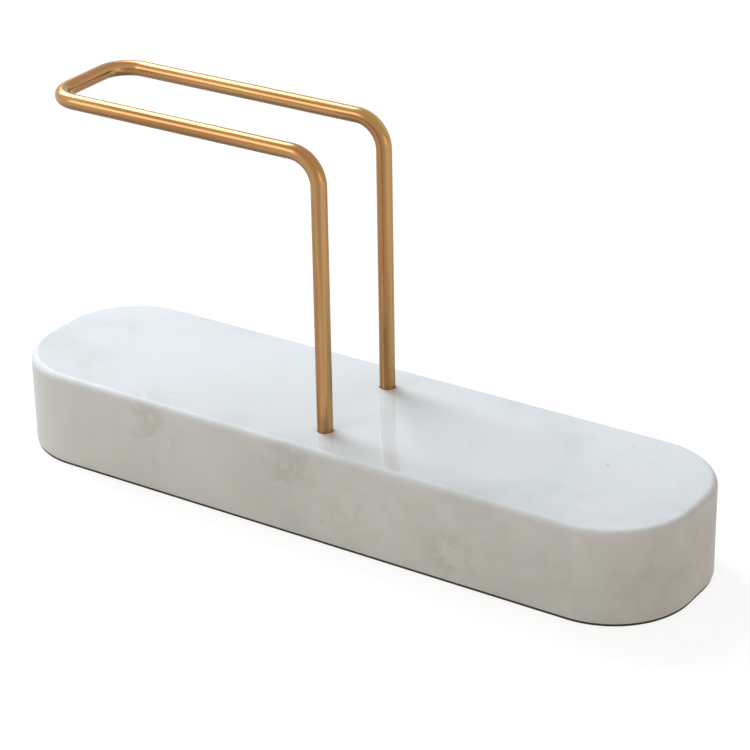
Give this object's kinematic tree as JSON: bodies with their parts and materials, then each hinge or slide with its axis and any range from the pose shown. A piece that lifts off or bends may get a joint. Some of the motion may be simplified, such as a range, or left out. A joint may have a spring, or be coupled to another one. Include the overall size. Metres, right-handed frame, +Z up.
{
  "type": "coffee filter holder",
  "caption": "Rounded marble slab with a bent brass rod loop that holds a stack of flat cone coffee filters upright between its arms.",
  "frame": {"origin": "middle of the rubber pad's underside, on the surface that the holder stands on", "axes": "+X along the slab, away from the closed end of the loop; +Y across the slab; +Z up"},
  "size_m": [0.152, 0.04, 0.0786],
  "materials": {
    "marble": "polished",
    "satin_brass": "satin brushed",
    "zinc_plated_steel": "zinc plated",
    "rubber_pad": "matt, fine-grained"
  },
  "bodies": {
    "root": {"marble_base": "marble", "brass_rod": "satin_brass", "near_washer": "zinc_plated_steel", "far_washer": "zinc_plated_steel", "near_nut": "zinc_plated_steel", "far_nut": "zinc_plated_steel", "base_pad": "rubber_pad"}
  },
  "joints": []
}
